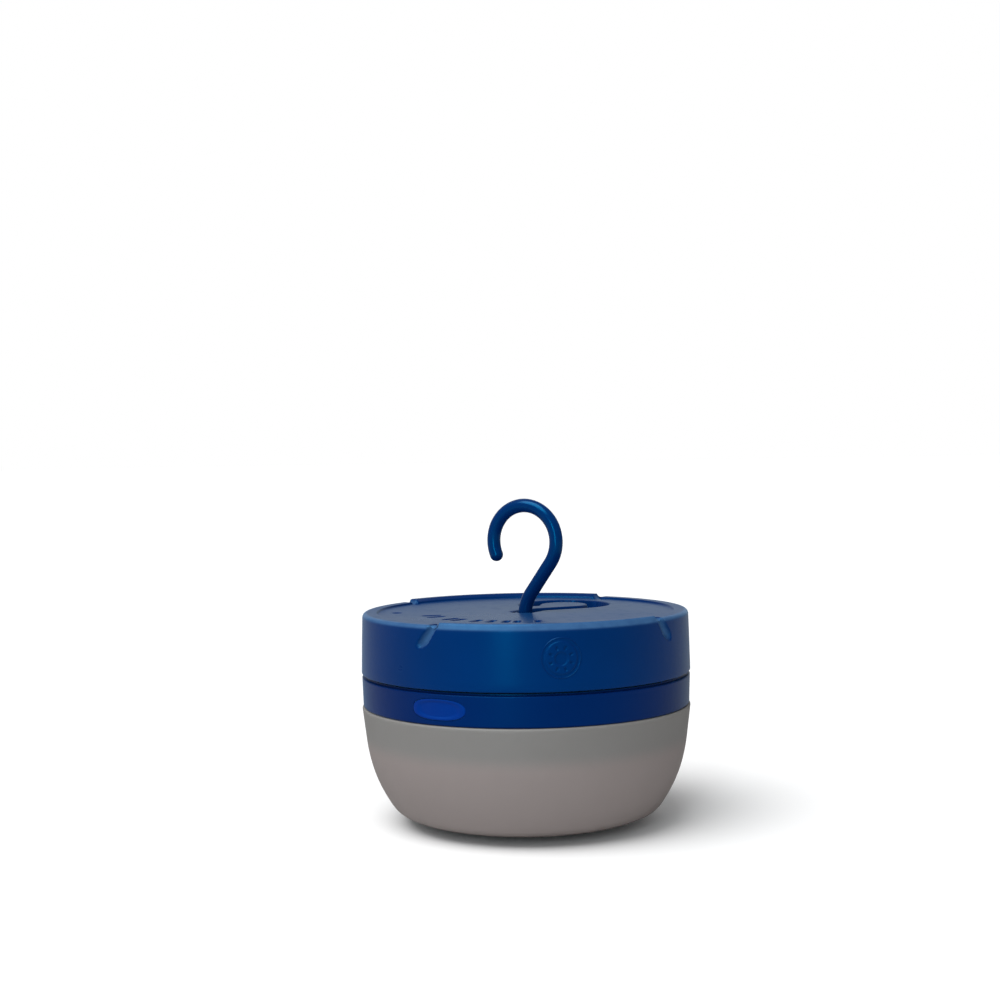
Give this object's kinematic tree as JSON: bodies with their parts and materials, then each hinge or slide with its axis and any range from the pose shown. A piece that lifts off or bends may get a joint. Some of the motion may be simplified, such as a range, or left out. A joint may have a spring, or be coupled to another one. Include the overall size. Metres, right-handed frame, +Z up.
{
  "type": "hanging camp lantern",
  "caption": "Small round camp lantern with a frosted bowl, a quarter-turn battery cap, an oval power button and a fold-down hanging hook.",
  "frame": {"origin": "centre of the bowl's flat foot, on the surface that the lantern stands on", "axes": "+Z up through the hook's pivot; the power button faces -Y; the hook stands in the XZ plane and folds towards +Y"},
  "size_m": [0.08, 0.08, 0.0785],
  "materials": {
    "cap_blue": "satin moulded plastic, royal blue",
    "body_blue": "satin moulded plastic, royal blue",
    "hook_blue": "glossy moulded plastic, royal blue",
    "button_blue": "soft moulded rubber, brighter blue",
    "frosted_bowl": "frosted translucent plastic, warm grey when unlit",
    "white_plastic": "smooth white moulded plastic",
    "black_plastic": "fine-textured black moulded plastic",
    "board_green": "solder mask on glass-fibre board",
    "led_yellow": "clear dome over yellow phosphor",
    "silicone": "matt translucent silicone",
    "nickel": "nickel-plated spring steel",
    "steel": "bright stainless steel",
    "cell_wrap": "plain printed sleeve over a metal can"
  },
  "bodies": {
    "housing": {"diffuser_bowl": "frosted_bowl", "bowl_seal": "silicone", "lower_body": "body_blue", "tact_switch": "black_plastic", "reflector": "white_plastic", "circuit_board": "board_green", "led_emitter": "led_yellow", "driver_chip": "black_plastic", "board_screw_1": "steel", "board_screw_2": "steel", "board_screw_3": "steel", "battery_tray": "black_plastic", "tray_screw_front": "steel", "tray_screw_rear": "steel", "battery_cell_1": "cell_wrap", "battery_cell_2": "cell_wrap", "battery_cell_3": "cell_wrap", "contact_spring_1": "nickel", "contact_spring_2": "nickel", "contact_spring_3": "nickel", "bridge_plate_right": "nickel", "bridge_plate_left": "nickel", "negative_terminal": "nickel", "positive_terminal": "nickel"},
    "gasket": {"cap_gasket": "silicone"},
    "cap": {"battery_cap": "cap_blue", "hook_pin": "steel", "hook_washer_left": "hook_blue", "hook_washer_right": "hook_blue"},
    "hook": {"hanging_hook": "hook_blue"},
    "button": {"power_button": "button_blue", "switch_plunger": "white_plastic"}
  },
  "joints": [
    {"name": "cap_lift", "type": "slide", "parent": "housing", "child": "gasket", "axis": [0, 0, 1], "range_m": [0, 0.0031]},
    {"name": "cap_unscrew", "type": "hinge", "parent": "gasket", "child": "cap", "pos_m": [0, 0, 0.045], "axis": [0, 0, 1], "range_deg": [0, 90]},
    {"name": "hook_fold", "type": "hinge", "parent": "cap", "child": "hook", "pos_m": [0, 0, 0.0488], "axis": [-1, 0, 0], "range_deg": [0, 90]},
    {"name": "button_press", "type": "slide", "parent": "housing", "child": "button", "axis": [0, 1, 0], "range_m": [0, 0.0006], "stiffness_N_per_m": 2500}
  ],
  "couplings": [
    {"joint": "cap_lift", "follows": "cap_unscrew", "m_per_rad": 0.0019099}
  ]
}
